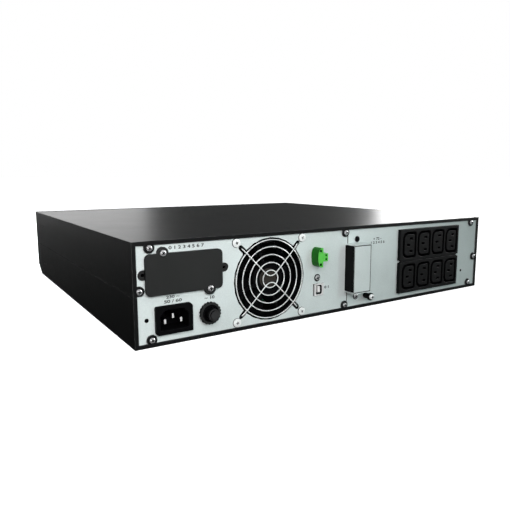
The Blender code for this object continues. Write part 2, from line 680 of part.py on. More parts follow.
def bezel_ring(wall):
    """Side profile of the bezel in (y, z), shrunk inwards by a wall."""
    if wall == 0:
        return [(FRONT, BEZEL_FOOT), (BEZEL_BACK, 0.0), (BEZEL_BACK, HEIGHT), (FRONT, HEIGHT)]
    slope = BEZEL_FOOT / (BEZEL_BACK - FRONT)
    rise = wall * math.sqrt(1 + slope * slope)
    start = FRONT + wall
    return [(start, BEZEL_FOOT - slope * wall + rise), (BEZEL_BACK + 5.0, rise - slope * 5.0),
            (BEZEL_BACK + 5.0, HEIGHT - wall), (start, HEIGHT - wall)]


def make_bezel():
    """Fixed half of the bezel with the air slots, and the half that covers the batteries."""
    gap = GAP / 2
    right = prism("front_bezel", [bezel_ring(0)], BEZEL_SPLIT + gap, HALF, "black_plastic", along="X")
    left = prism("battery_cover", [bezel_ring(0)], -HALF, BEZEL_SPLIT - gap, "black_plastic", along="X")
    inner = bezel_ring(BEZEL_WALL)
    cut(right, prism("bezel_room", [inner], BEZEL_SPLIT + gap + BEZEL_WALL, HALF - BEZEL_WALL, along="X"))
    cut(left, prism("cover_hollow", [inner], -HALF + BEZEL_WALL, BEZEL_SPLIT - gap - BEZEL_WALL, along="X"))
    slots = [rounded(94.0 + 7.6 * n, 97.6 + 7.6 * n, 20.0, 76.0, 1.7, 1) for n in range(15)]
    cut(right, prism("air_slots", slots, FRONT - 2, FRONT + 6))
    slots = [rounded(-204.0 + 7.6 * n, -200.4 + 7.6 * n, 20.0, 76.0, 1.7, 1) for n in range(8)]
    cut(left, prism("cover_slots", slots, FRONT - 2, FRONT + 6))
    grip = prism("cover_grip", [rounded(-44.0, -16.0, 40.0, 56.0, 7.9, 4)], FRONT - 2, FRONT + 1.4)
    cut(left, grip)
    fuse(right, drum("dial_cup", DIAL_X, DIAL_Z, FRONT + 1.0, FRONT + 12.0, WELL_RADIUS + 2.0, steps=32))
    cut(right, drum("dial_well", DIAL_X, DIAL_Z, FRONT - 2, FRONT + 10.0, WELL_RADIUS, steps=32))
    cut(right, drum("dial_bore", DIAL_X, DIAL_Z, FRONT + 5, FRONT + 14.0, 12.6, steps=20))


def make_dial():
    """Turning display with four keys."""
    at = (DIAL_X, FRONT + 4.0, DIAL_Z)
    dial = drum("display_dial", DIAL_X, DIAL_Z, FRONT - 1.5, FRONT + 7.0, DIAL_RADIUS, "black_plastic", 32,
                place=at)
    fuse(dial, drum("dial_boss", DIAL_X, DIAL_Z, FRONT + 6.0, FRONT + 14.6, 12.2, steps=20))
    fuse(dial, drum("dial_lip", DIAL_X, DIAL_Z, FRONT + 12.3, FRONT + 14.6, 13.6, steps=20))
    cut(dial, solid_box("lens_well", (DIAL_X - 22.3, FRONT - 5, DIAL_Z - 9.3),
                        (DIAL_X + 22.3, FRONT + 0.7, DIAL_Z + 19.3)))
    lens = solid_box("display_lens", (DIAL_X - 22.0, FRONT - 1.2, DIAL_Z - 9.0),
                     (DIAL_X + 22.0, FRONT + 0.4, DIAL_Z + 19.0), "lens", at)
    lens.parent = dial
    lens.matrix_parent_inverse = Matrix.Translation([-c * MM for c in at])
    for name, dx in BUTTONS:
        x = DIAL_X + dx * 0.85
        z = DIAL_Z - 16.5
        cut(dial, drum(name + "_well", x, z, FRONT - 5, FRONT + 3.2, 3.5, steps=12))
        key = drum(name, x, z, FRONT - 2.5, FRONT + 1.6, 3.1, "white_plastic", 12, place=(x, FRONT, z))
        key.parent = dial
        key.matrix_parent_inverse = Matrix.Translation([-c * MM for c in at])


def make_batteries():
    """Sliding tray with four sealed batteries on their sides."""
    low = 7.0
    back = BODY_FRONT - GAP
    tray = solid_box("battery_tray", (TRAY_LEFT, back - SHEET, low), (TRAY_RIGHT, 126.5, 60.0), "zinc_sheet")
    cut(tray, solid_box("tray_room", (TRAY_LEFT + 1, -183.6, low + 1), (TRAY_RIGHT - 1, 125.5, 80.0)))
    cut(tray, solid_box("tray_neck", (TRAY_LEFT - 5, -185.3, low + 1), (TRAY_RIGHT + 5, -182.0, 80.0)))
    fuse(tray, solid_box("tray_front", (-216.0, back - SHEET, 4.6), (-6.0, back, 78.0)))
    fuse(tray, solid_box("tray_pull", (-140.0, -197.0, 40.0), (-80.0, -185.8, 41.4)))
    fuse(tray, solid_box("tray_pull_lip", (-140.0, -198.0, 34.0), (-80.0, -196.6, 41.4)))
    for index in range(4):
        column, row = index % 2, index // 2
        x = TRAY_LEFT + 1.3 if column == 0 else TRAY_RIGHT - 1.3 - CELL_SIZE[0]
        y = -181.5 + row * (CELL_SIZE[1] + 2.0)
        cell = solid_box("battery_%d" % (index + 1), (x, y, low + 1.3),
                         (x + CELL_SIZE[0], y + CELL_SIZE[1], low + 1.3 + CELL_SIZE[2]), "battery_case")
        inward = x + CELL_SIZE[0] if column == 0 else x
        for tag, ty in (("a", y + 12.0), ("b", y + 132.0)):
            fuse(cell, solid_box("%s_tab_%s" % (cell.name, tag), (inward - 5.5, ty, 60.0),
                                 (inward + 5.5, ty + 6.3, 61.0)))


def make_electronics():
    """Power board with its heatsink and transformer."""
    solid_box("main_board", (2.0, -150.0, 8.0), (206.0, 150.0, 9.6), "board")
    fins = [(60.0, 10.0), (140.0, 10.0), (140.0, 16.0)]
    for n in range(9):
        x = 140.0 - n * 9.5
        fins += [(x, 58.0), (x - 2.4, 58.0)]
        if n < 8:
            fins += [(x - 2.4, 16.0), (x - 9.5, 16.0)]
    fins.append((60.0, 16.0))
    prism("heatsink", [fins], -100.0, 90.0, "aluminium")
    core = solid_box("transformer", (158.0, -110.0, 10.0), (202.0, -58.0, 56.0), "copper")
    fuse(core, solid_box("core_leg", (152.0, -98.0, 16.0), (205.0, -70.0, 50.0)))


start()
make_materials()
make_case()
make_panels()
make_card_slot()
make_inlet()
make_breaker()
make_fan()
make_signal_ports()
make_battery_port()
make_outlets()
make_bezel()
make_dial()
make_batteries()
make_electronics()
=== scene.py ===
import json
import math

import bmesh
import bpy
from mathutils import Matrix, Vector


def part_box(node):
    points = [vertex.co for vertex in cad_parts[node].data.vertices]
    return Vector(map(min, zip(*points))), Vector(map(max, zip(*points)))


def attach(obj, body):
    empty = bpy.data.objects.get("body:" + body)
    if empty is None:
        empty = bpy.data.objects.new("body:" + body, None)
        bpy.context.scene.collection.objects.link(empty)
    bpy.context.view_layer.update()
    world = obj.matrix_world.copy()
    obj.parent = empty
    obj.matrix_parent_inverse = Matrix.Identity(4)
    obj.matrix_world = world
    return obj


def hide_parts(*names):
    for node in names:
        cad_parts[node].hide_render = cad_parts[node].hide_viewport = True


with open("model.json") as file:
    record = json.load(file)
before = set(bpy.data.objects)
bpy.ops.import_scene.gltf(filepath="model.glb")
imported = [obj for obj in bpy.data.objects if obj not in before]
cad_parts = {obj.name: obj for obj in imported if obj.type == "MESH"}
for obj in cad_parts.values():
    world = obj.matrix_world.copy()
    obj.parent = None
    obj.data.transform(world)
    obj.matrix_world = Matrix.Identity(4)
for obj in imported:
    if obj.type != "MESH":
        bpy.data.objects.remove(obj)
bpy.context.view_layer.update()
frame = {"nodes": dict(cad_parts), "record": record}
NODES = frame["nodes"]
MM = 0.001
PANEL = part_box("rear_panel_left")[1].y / MM
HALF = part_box("base_tray")[1].x / MM
CASE_SEAM = 43.0
PRINT_LIFT = 0.04
SEGMENT_DEPTH = 0.05


def make_camera():
    """Camera behind and to the mains side of the unit, a little above it."""
    data = bpy.data.cameras.new("camera")
    data.sensor_width = 36.0
    data.lens = 36.0
    data.shift_x = -0.0302
    data.shift_y = -0.0072
    data.clip_start = 0.01
    camera = bpy.data.objects.new("camera", data)
    bpy.context.scene.collection.objects.link(camera)
    camera.location = (0.345, 0.585, 0.1368)
    look = Vector((-0.040, 0.0095, 0.0342)) - camera.location
    camera.rotation_euler = look.to_track_quat("-Z", "Y").to_euler()
    bpy.context.scene.camera = camera


# ---------------------------------------------------------------- materials

class Paint:
    """Builds one procedural material around a Principled shader."""

    def __init__(self, name, metallic=0.0, coat=0.0, ior=1.5):
        self.material = bpy.data.materials.new(name)
        self.material.use_nodes = True
        self.tree = self.material.node_tree
        self.shader = self.tree.nodes["Principled BSDF"]
        self.shader.inputs["Metallic"].default_value = metallic
        self.shader.inputs["Coat Weight"].default_value = coat
        self.shader.inputs["IOR"].default_value = ior
        self.place = self.node("ShaderNodeTexCoord").outputs["Object"]

    def node(self, kind, **values):
        made = self.tree.nodes.new(kind)
        for key, value in values.items():
            setattr(made, key, value)
        return made

    def link(self, source, target):
        self.tree.links.new(source, target)

    def stretch(self, scale):
        """Coordinates scaled unevenly, for brushed or drawn surfaces."""
        made = self.node("ShaderNodeMapping")
        made.inputs["Scale"].default_value = scale
        self.link(self.place, made.inputs["Vector"])
        return made.outputs["Vector"]

    def noise(self, scale, detail=3.0, rough=0.55, where=None):
        made = self.node("ShaderNodeTexNoise")
        made.inputs["Scale"].default_value = scale
        made.inputs["Detail"].default_value = detail
        made.inputs["Roughness"].default_value = rough
        self.link(self.place if where is None else where, made.inputs["Vector"])
        return made.outputs["Fac"]

    def cells(self, scale, feature):
        made = self.node("ShaderNodeTexVoronoi", feature=feature)
        made.inputs["Scale"].default_value = scale
        self.link(self.place, made.inputs["Vector"])
        return made.outputs["Distance"]

    def ramp(self, source, low, high, start, end):
        made = self.node("ShaderNodeMapRange")
        made.inputs["From Min"].default_value = start
        made.inputs["From Max"].default_value = end
        made.inputs["To Min"].default_value = low
        made.inputs["To Max"].default_value = high
        self.link(source, made.inputs["Value"])
        return made.outputs["Result"]

    def math(self, operation, a, b):
        made = self.node("ShaderNodeMath", operation=operation)
        for socket, value in zip(made.inputs, (a, b)):
            if isinstance(value, (int, float)):
                socket.default_value = value
            else:
                self.link(value, socket)
        return made.outputs[0]

    def mix(self, factor, a, b):
        made = self.node("ShaderNodeMix", data_type="RGBA")
        self.link(factor, made.inputs["Factor"])
        for socket, value in ((made.inputs[6], a), (made.inputs[7], b)):
            if isinstance(value, tuple):
                socket.default_value = (*value, 1.0)
            else:
                self.link(value, socket)
        return made.outputs[2]

    def edges(self, radius):
        """One on sharp outer edges, zero on flats."""
        bevel = self.node("ShaderNodeBevel", samples=4)
        bevel.inputs["Radius"].default_value = radius
        flat = self.node("ShaderNodeNewGeometry")
        dot = self.node("ShaderNodeVectorMath", operation="DOT_PRODUCT")
        self.link(bevel.outputs["Normal"], dot.inputs[0])
        self.link(flat.outputs["Normal"], dot.inputs[1])
        return self.ramp(self.math("SUBTRACT", 1.0, dot.outputs["Value"]), 0.0, 1.0, 0.02, 0.22)

    def colour(self, value):
        if isinstance(value, tuple):
            self.shader.inputs["Base Color"].default_value = (*value, 1.0)
        else:
            self.link(value, self.shader.inputs["Base Color"])

    def roughness(self, source):
        self.link(source, self.shader.inputs["Roughness"])

    def bump(self, source, distance):
        made = self.node("ShaderNodeBump")
        made.inputs["Distance"].default_value = distance
        made.inputs["Strength"].default_value = 1.0
        self.link(source, made.inputs["Height"])
        self.link(made.outputs["Normal"], self.shader.inputs["Normal"])


def scaled(colour, factor):
    return tuple(c * factor for c in colour)


def powder_coat(name, colour, rough, grain=1500.0, depth=0.00003, wear_and_edge_light=None, patchy=1.0):
    """Sprayed powder paint with a fine orange peel, and edges lightened partly as rubbed wear and partly as
    a painted edge highlight.
    """
    paint = Paint(name)
    cloud = paint.noise(9.0, 4.0)
    peel = paint.noise(grain, 3.0, 0.6)
    tint = paint.mix(paint.ramp(cloud, 0.0, 1.0, 0.35, 0.65), scaled(colour, 0.9), scaled(colour, 1.12))
    speck = paint.mix(paint.ramp(peel, 0.0, 0.35, 0.4, 0.75), tint, scaled(colour, 1.5))
    if wear_and_edge_light:
        chance = paint.ramp(paint.noise(160.0), 0.35, 1.0, 0.4, 0.65)
        # Lighter edges: partly rubbed wear, partly a painted highlight along the edges.
        speck = paint.mix(paint.math("MULTIPLY", paint.edges(0.0008), chance), speck, wear_and_edge_light)
    paint.colour(speck)
    smudge = paint.ramp(paint.noise(28.0, 5.0, 0.6), rough - 0.05 * patchy, rough + 0.08 * patchy, 0.3, 0.7)
    paint.roughness(paint.math("ADD", smudge, paint.ramp(peel, -0.03 * patchy, 0.03 * patchy, 0.3, 0.7)))
    paint.bump(peel, depth)
    return paint.material


def moulded(name, colour, rough, grain=2600.0, depth=0.00002, ior=1.5):
    """Injection-moulded plastic with a spark-eroded grain and faint flow marks, and edges lightened partly
    as scuffs and partly as a painted edge highlight.
    """
    paint = Paint(name, ior=ior)
    spark = paint.noise(grain, 2.0, 0.7)
    flow = paint.noise(60.0, 3.0, 0.5, paint.stretch((1.0, 1.0, 3.0)))
    tint = paint.mix(paint.ramp(flow, 0.0, 1.0, 0.35, 0.65), scaled(colour, 0.95), scaled(colour, 1.06))
    # Lighter edges: partly scuffs, partly a painted highlight along the edges.
    scuff_and_edge_light = paint.math("MULTIPLY", paint.edges(0.0003), 0.35)
    paint.colour(paint.mix(scuff_and_edge_light, tint, tuple(min(1.0, c * 1.7 + 0.015) for c in colour)))
    paint.roughness(paint.math("ADD", paint.ramp(flow, rough - 0.015, rough + 0.02, 0.3, 0.7),
                               paint.ramp(spark, -0.04, 0.04, 0.3, 0.7)))
    paint.bump(spark, depth)
    return paint.material


def plated(name, colour, rough, drawn=(1.0, 1.0, 1.0), grain=900.0, depth=0.00001, metallic=1.0):
    """Plated metal with fine tool marks and dulled patches."""
    paint = Paint(name, metallic=metallic)
    marks = paint.noise(grain, 3.0, 0.6, paint.stretch(drawn))
    haze = paint.noise(70.0, 4.0, 0.6)
    paint.colour(paint.mix(paint.ramp(haze, 0.0, 1.0, 0.3, 0.7), scaled(colour, 0.82), colour))
    paint.roughness(paint.math("ADD", paint.ramp(haze, rough - 0.05, rough + 0.1, 0.3, 0.7),
                               paint.ramp(marks, -0.05, 0.05, 0.3, 0.7)))
    paint.bump(marks, depth)
    return paint.material


def circuit(name):
    """Green board with copper tracks under the mask."""
    paint = Paint(name, coat=0.3)
    cell = paint.cells(160.0, "DISTANCE_TO_EDGE")
    tracks = paint.ramp(cell, 1.0, 0.0, 0.03, 0.09)
    cloud = paint.ramp(paint.noise(30.0), 0.0, 1.0, 0.3, 0.7)
    mask = paint.mix(cloud, (0.004, 0.032, 0.013), (0.006, 0.05, 0.02))
    paint.colour(paint.mix(tracks, mask, (0.014, 0.11, 0.042)))
    paint.roughness(paint.ramp(tracks, 0.42, 0.3, 0.0, 1.0))
    paint.bump(tracks, 0.00004)
    return paint.material


def glass_lens(name):
    """Smoked display window with a faint lit field behind."""
    paint = Paint(name, coat=1.0)
    paint.shader.inputs["Coat Roughness"].default_value = 0.03
    haze = paint.noise(45.0, 3.0)
    depth = paint.ramp(haze, 0.0, 1.0, 0.3, 0.7)
    paint.colour(paint.mix(depth, (0.006, 0.016, 0.035), (0.010, 0.026, 0.055)))
    paint.roughness(paint.ramp(haze, 0.08, 0.14, 0.3, 0.7))
    return paint.material


def lit(name, colour, strength):
    """Display segments with slight unevenness."""
    paint = Paint(name)
    paint.colour(colour)
    glow = paint.ramp(paint.noise(400.0), strength * 0.8, strength * 1.1, 0.3, 0.7)
    paint.shader.inputs["Emission Color"].default_value = (*colour, 1.0)
    paint.link(glow, paint.shader.inputs["Emission Strength"])
    paint.roughness(paint.ramp(paint.noise(900.0), 0.3, 0.4, 0.3, 0.7))
    return paint.material


BLACK = powder_coat("black_coat", (0.0055, 0.0058, 0.006), 0.38, wear_and_edge_light=(0.11, 0.115, 0.115), patchy=0.15)
GREY = powder_coat("panel_grey", (0.54, 0.60, 0.59), 0.42, 1900.0, 0.00002, wear_and_edge_light=(0.8, 0.82, 0.82))
SLATE = powder_coat("cover_grey", (0.0145, 0.0155, 0.0152), 0.5, 1700.0, 0.00003)
PLASTIC = moulded("black_plastic", (0.009, 0.0093, 0.0095), 0.44, ior=1.3)
# Near-black for black parts. It is also painted onto faces and strips as painted shade.
DEEP_BLACK_AND_SHADE = moulded("deep_black_and_shade", (0.0025, 0.0026, 0.003), 0.5, ior=1.18)
BEZEL = moulded("bezel_plastic", (0.028, 0.0285, 0.030), 0.46, 1500.0, 0.00004)
STEEL = plated("plated_steel", (0.86, 0.87, 0.88), 0.2)
SCREW = plated("bright_screw", (0.98, 0.99, 1.0), 0.27, metallic=0.72)
FLAT_SCREW = plated("white_screw", (0.90, 0.93, 0.92), 0.34, metallic=0.1)
# Near-black metal painted into screw recesses and onto the guard's wire ends as painted shade.
RECESS_SHADE = plated("screw_recess_shade", (0.03, 0.032, 0.035), 0.4)
WIRE = plated("guard_wire", (0.94, 0.975, 0.96), 0.25, metallic=0.25)
NICKEL = plated("bright_pin", (0.95, 0.95, 0.94), 0.2, (1.0, 0.15, 1.0), metallic=0.3)
DARK_STEEL = plated("dark_steel", (0.10, 0.10, 0.105), 0.35)
ZINC = plated("zinc_sheet", (0.70, 0.72, 0.74), 0.34, (1.0, 12.0, 12.0), 300.0)
ALUMINIUM = plated("aluminium", (0.80, 0.81, 0.82), 0.32, (14.0, 1.0, 14.0), 250.0)
GREEN = moulded("green_plastic", (0.10, 0.50, 0.075), 0.36, 2200.0, 0.000015, ior=1.35)
# Darker copy of the plug's green, painted on its flank as painted shade.
SHADED_FLANK_GREEN = moulded("shaded_flank_green", (0.006, 0.12, 0.005), 0.5, ior=1.25)
DEEP_GREEN = moulded("header_green", (0.012, 0.12, 0.010), 0.5)
PALE = moulded("light_plastic", (0.72, 0.72, 0.70), 0.4)
CELL = moulded("battery_case", (0.030, 0.031, 0.034), 0.5, 1800.0, 0.00004)
LABEL = powder_coat("battery_label", (0.42, 0.44, 0.47), 0.45, 900.0, 0.00001)
COPPER = plated("winding", (0.26, 0.12, 0.055), 0.45, (1.0, 1.0, 40.0), 200.0, 0.0001)
BOARD = circuit("board")
LENS = glass_lens("lens")
SEGMENTS = lit("segments", (0.35, 0.75, 1.0), 1.3)
INK = powder_coat("print_ink", (0.012, 0.013, 0.014), 0.5, 2500.0, 0.00001)
KEY_PLASTIC = moulded("key_plastic", (0.026, 0.0265, 0.027), 0.4, ior=1.4)
HUB_LABEL = powder_coat("hub_label", (0.024, 0.021, 0.017), 0.5, 1200.0, 0.00001)

PINS = ("line", "earth", "neutral")
KEYS = ("power", "up", "down", "enter")
# Finish of each material slot in the frame, and of the parts that differ from their slot.
SLOTS = {
    "black_coat": BLACK, "panel_grey": GREY, "cover_grey": SLATE, "black_plastic": PLASTIC,
    "black_screw": DARK_STEEL, "plated_steel": STEEL, "zinc_sheet": ZINC, "green_plastic": GREEN,
    "light_plastic": PALE, "lens": LENS, "battery_case": CELL, "board": BOARD, "aluminium": ALUMINIUM,
    "winding": COPPER,
}
OWN = {
    "front_bezel": BEZEL, "battery_cover": BEZEL, "display_dial": PLASTIC, "epo_header": DEEP_GREEN,
    "usb_shell": NICKEL, "battery_port": DEEP_BLACK_AND_SHADE, "inlet_body": DEEP_BLACK_AND_SHADE, "ground_nut": DEEP_BLACK_AND_SHADE,
    "breaker_nut": DEEP_BLACK_AND_SHADE, "breaker_body": DEEP_BLACK_AND_SHADE, "breaker_button": DEEP_BLACK_AND_SHADE,
    **{"inlet_pin_" + pin: NICKEL for pin in PINS},
}
# Width of the softened edges, in millimetres.
BEVELS = {
    "base_tray": 0.5, "top_cover": 0.5, "slot_cover": 0.35, "inlet_body": 0.4, "outlet_block_lower": 0.45,
    "outlet_block_upper": 0.45, "battery_port": 0.4, "battery_port_cover": 0.5, "epo_plug": 0.25,
    "epo_header": 0.2, "usb_shell": 0.2, "usb_tongue": 0.15, "front_bezel": 0.7, "battery_cover": 0.7,
    "display_dial": 0.5, "display_lens": 0.2, "battery_tray": 0.3, "transformer": 1.5, "heatsink": 0.2,
    **{"inlet_pin_" + pin: 0.5 for pin in PINS},
    **{"button_" + key: 0.4 for key in KEYS},
    **{"battery_%d" % index: 1.5 for index in range(1, 5)},
}


def soften(node, width):
    """Rounds the sharp edges of a carried-over part."""
    weld = node.modifiers.new("weld", "WELD")
    weld.merge_threshold = 0.00001
    bevel = node.modifiers.new("edge", "BEVEL")
    bevel.width = width * MM
    bevel.segments = 2
    bevel.limit_method = "ANGLE"
    bevel.angle_limit = math.radians(40)
    bevel.harden_normals = False
    bevel.use_clamp_overlap = True


def dress_nodes():
    """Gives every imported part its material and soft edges."""
    slot_of = {entry["node"]: entry["material_slot"] for entry in frame["record"]["subparts"]}
    for name, node in NODES.items():
        finish = OWN.get(name, SLOTS[slot_of[name]])
        node.data.materials.clear()
        node.data.materials.append(finish)
        for face in node.data.polygons:
            face.material_index = 0
        if name in BEVELS:
            soften(node, BEVELS[name])
    # Painted shade: the side faces of the slot cover are painted near-black.
    repaint("slot_cover", DEEP_BLACK_AND_SHADE, lambda spot, way: way.y < 0.9)
    # Painted shade: the walls inside the data port's mouth are painted near-black.
    repaint("usb_shell", DEEP_BLACK_AND_SHADE, inside_mouth)
    # Painted light: the cage's outward faces are given a lighter finish than its other faces.
    repaint("slot_cage", SLATE, lambda spot, way: way.y > 0.9)
    # Painted shade: the groove round the battery port cover is painted near-black.
    repaint("battery_port_cover", DEEP_BLACK_AND_SHADE, in_groove)
    nose = extents("epo_plug")[1].y
    # Painted shade: the plug's flank facing the mains side is painted a darker green.
    repaint("epo_plug", SHADED_FLANK_GREEN, lambda spot, way: way.x > 0.35 and spot.y > PANEL)
    # Painted shade: the hole bottoms inside the plug are painted near-black.
    repaint("epo_plug", DEEP_BLACK_AND_SHADE, lambda spot, way: way.y > 0.9 and PANEL + 1 < spot.y < nose - 1)
    # Painted shade: everything behind the outlet blocks' front faces, flanks and socket recesses, is
    # painted near-black.
    for name in ("outlet_block_lower", "outlet_block_upper"):
        front = extents(name)[1].y
        repaint(name, DEEP_BLACK_AND_SHADE, lambda spot, way, front=front: spot.y < front - 0.3)
    # Painted light and shade: the fronts of the breaker's nut, body and button get lighter finishes, while
    # their sides stay near-black.
    for part, finish in (("nut", SLATE), ("body", KEY_PLASTIC), ("button", KEY_PLASTIC)):
        front = extents("breaker_" + part)[1].y
        repaint("breaker_" + part, finish,
                lambda spot, way, front=front: way.y > 0.9 and spot.y > front - 0.2)
    # Painted shade: the sides of the inlet pins are painted dark steel, and only their ends stay bright.
    for pin in PINS:
        repaint("inlet_pin_" + pin, DARK_STEEL, lambda spot, way: way.y < 0.9)


def inside_mouth(spot, _way):
    """True for the walls inside the data port's opening, which are painted near-black as shade."""
    low, high = extents("usb_shell")
    wall = 0.8
    between_sides = low.x + wall < spot.x < high.x - wall
    between_ends = low.z + wall < spot.z < high.z - wall
    return between_sides and between_ends and spot.y < high.y - 0.3


def in_groove(spot, _way):
    """True for the faces of the shallow groove round the battery port cover, which are painted near-black
    as shade.
    """
    front = extents("battery_port_cover")[1].y
    return front - 0.6 < spot.y < front - 0.05


def repaint(name, finish, chosen):
    """Gives another finish to the faces chosen by their centre, in millimetres, and their normal."""
    mesh = NODES[name].data
    mesh.materials.append(finish)
    index = len(mesh.materials) - 1
    for face in mesh.polygons:
        if chosen(face.center / MM, face.normal):
            face.material_index = index


# ---------------------------------------------------------------- mesh pieces

def piece(name, shape, finish, node=None, body="case"):
    """Turns a bmesh in millimetres into an object that rides a body and may stand for a CAD node."""
    bmesh.ops.remove_doubles(shape, verts=shape.verts, dist=0.0005)
    bmesh.ops.recalc_face_normals(shape, faces=shape.faces)
    bmesh.ops.scale(shape, vec=(MM, MM, MM), verts=shape.verts)
    mesh = bpy.data.meshes.new(name)
    shape.to_mesh(mesh)
    shape.free()
    for face in mesh.polygons:
        face.use_smooth = True
    mesh.set_sharp_from_angle(angle=math.radians(35.0))
    mesh.materials.append(finish)
    made = bpy.data.objects.new(name, mesh)
    bpy.context.scene.collection.objects.link(made)
    if node:
        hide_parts(node)
    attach(made, body)
    return made


def add_ring(shape, points):
    """New vertices at some points, in order."""
    return [shape.verts.new(point) for point in points]


def circle(x, z, radius, y, steps, offset=0.0):
    """Points of a circle round an axis along Y."""
    turns = [math.tau * (step + offset) / steps for step in range(steps)]
    return [Vector((x + radius * math.cos(turn), y, z + radius * math.sin(turn))) for turn in turns]


def middle_of(name):
    """X and Z of the middle of a CAD part, in millimetres."""
    low, high = extents(name)
    return (low.x + high.x) / 2, (low.z + high.z) / 2


def bridge(shape, first, second):
    """Quads between two rings of the same length."""
    count = len(first)
    for step in range(count):
        after = (step + 1) % count
        shape.faces.new((first[step], first[after], second[after], second[step]))


def lathe(shape, x, z, profile, steps):
    """Solid of revolution round an axis along Y, from (radius, y) pairs."""
    rings = []
    for radius, y in profile:
        if radius < 0.0001:
            rings.append([shape.verts.new((x, y, z))])
            continue
        rings.append(add_ring(shape, circle(x, z, radius, y, steps)))
    for low, high in zip(rings, rings[1:]):
        if len(low) == 1 or len(high) == 1:
            tip, ring = (low[0], high) if len(low) == 1 else (high[0], low)
            for step in range(steps):
                shape.faces.new((tip, ring[step], ring[(step + 1) % steps]))
        else:
            bridge(shape, low, high)


def disc(shape, x, z, radius, back, front, steps):
    """Flat round plate between two places along Y."""
    lathe(shape, x, z, ((0.0, front), (radius, front), (radius, back), (0.0, back)), steps)


def rounded_path(points):
    """Cuts the corners of an open path three times, until it bends smoothly."""
    for _ in range(3):
        cut = [points[0]]
        for a, b in zip(points, points[1:]):
            cut += [a.lerp(b, 0.25), a.lerp(b, 0.75)]
        points = cut + [points[-1]]
    return points


def tube(shape, points, radius, closed=False):
    """Round wire along a path."""
    count, sides = len(points), 10
    across = None
    rings = []
    for step, point in enumerate(points):
        before = points[step - 1] if step or closed else point
        after = points[(step + 1) % count] if step < count - 1 or closed else point
        way = (after - before).normalized()
        if across is None:
            across = way.orthogonal()
        across = (across - way * across.dot(way)).normalized()
        other = way.cross(across)
        turns = [math.tau * side / sides for side in range(sides)]
        spokes = [across * math.cos(turn) + other * math.sin(turn) for turn in turns]
        rings.append(add_ring(shape, [point + spoke * radius for spoke in spokes]))
    for low, high in zip(rings, rings[1:]):
        bridge(shape, low, high)
    if closed:
        shift = min(range(sides), key=lambda k: (rings[0][k].co - rings[-1][0].co).length)
        bridge(shape, rings[-1], rings[0][shift:] + rings[0][:shift])
    else:
        shape.faces.new(rings[0])
        shape.faces.new(rings[-1])


def block(shape, low, high, round_by):
    """Box, with bevelled edges unless round_by is nought."""
    centre = (Vector(low) + Vector(high)) / 2
    size = Vector(high) - Vector(low)
    made = bmesh.ops.create_cube(shape, size=1.0)["verts"]
    for vert in made:
        vert.co = Vector(a * b for a, b in zip(vert.co, size)) + centre
    if round_by:
        edges = {edge for vert in made for edge in vert.link_edges}
        bmesh.ops.bevel(shape, geom=list(edges), offset=round_by, segments=2, affect="EDGES", profile=0.5)


def extents(name):
    """Lowest and highest corner of a CAD part, in millimetres."""
    low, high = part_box(name)
    return low / MM, high / MM


def screw(name, finish, turn, dome=0.75, reach=0.6, slot=0.17):
    """Cross-recess screw with a domed head, on the axis and seat of its CAD part."""
    low, high = extents(name)
    x, z = middle_of(name)
    head = (high.x - low.x) / 2
    verts = NODES[name].data.vertices
    seat = min(v.co.y / MM for v in verts if math.hypot(v.co.x / MM - x, v.co.z / MM - z) > head * 0.9)
    shank = max(math.hypot(v.co.x / MM - x, v.co.z / MM - z) for v in verts if v.co.y / MM < seat - 1.0)
    head -= 0.45 if dome > 0.5 else 0.1
    tall = high.y - seat
    shape = bmesh.new()
    profile = [(0.0, high.y)]
    for step in range(1, 9):
        angle = math.radians(90 * step / 8)
        profile.append((head * math.sin(angle), seat + tall * (1 - dome) + tall * dome * math.cos(angle)))
    profile += [(head, seat), (shank, seat), (shank, low.y + 1.0), (shank * 0.5, low.y), (0.0, low.y)]
    lathe(shape, 0.0, 0.0, profile, 40)
    sink_cross(shape, head * reach, head * slot, seat + tall * 0.2, tall * 0.62)
    turn_into_place(shape, turn, x, z)
    made = piece(name + "_head", shape, finish, name)
    # Second finish: painted shade in the cross recess.
    made.data.materials.append(RECESS_SHADE)


def sink_cross(shape, arm, half, above, depth):
    """Presses a tapering cross into the top faces of a screw head, and paints its walls with the second
    finish, a painted shade.
    """
    for axis in ((1, 0, 0), (0, 0, 1)):
        for offset in (-arm, -half, half, arm):
            top = [face for face in shape.faces if face.calc_center_median().y > above]
            cut = top + list({edge for face in top for edge in face.edges})
            cut += list({vert for face in top for vert in face.verts})
            bmesh.ops.bisect_plane(shape, geom=cut, plane_co=Vector(axis) * offset, plane_no=axis)
    inside = []
    for face in shape.faces:
        middle = face.calc_center_median()
        a, b = abs(middle.x), abs(middle.z)
        if middle.y > above and ((a < arm and b < half) or (b < arm and a < half)):
            inside.append(face)
    before = set(shape.faces)
    sunk = bmesh.ops.extrude_face_region(shape, geom=inside)["geom"]
    taper = 0.72
    for vert in (item for item in sunk if isinstance(item, bmesh.types.BMVert)):
        vert.co = Vector((vert.co.x * taper, vert.co.y - depth, vert.co.z * taper))
    for face in set(shape.faces) - before:
        face.material_index = 1
    bmesh.ops.delete(shape, geom=inside, context="FACES")


def turn_into_place(shape, degrees, x, z):
    """Turns a shape made at the origin about Y and moves it to its place."""
    bmesh.ops.rotate(shape, verts=shape.verts, matrix=Matrix.Rotation(math.radians(degrees), 3, "Y"))
    bmesh.ops.translate(shape, verts=shape.verts, vec=(x, 0.0, z))


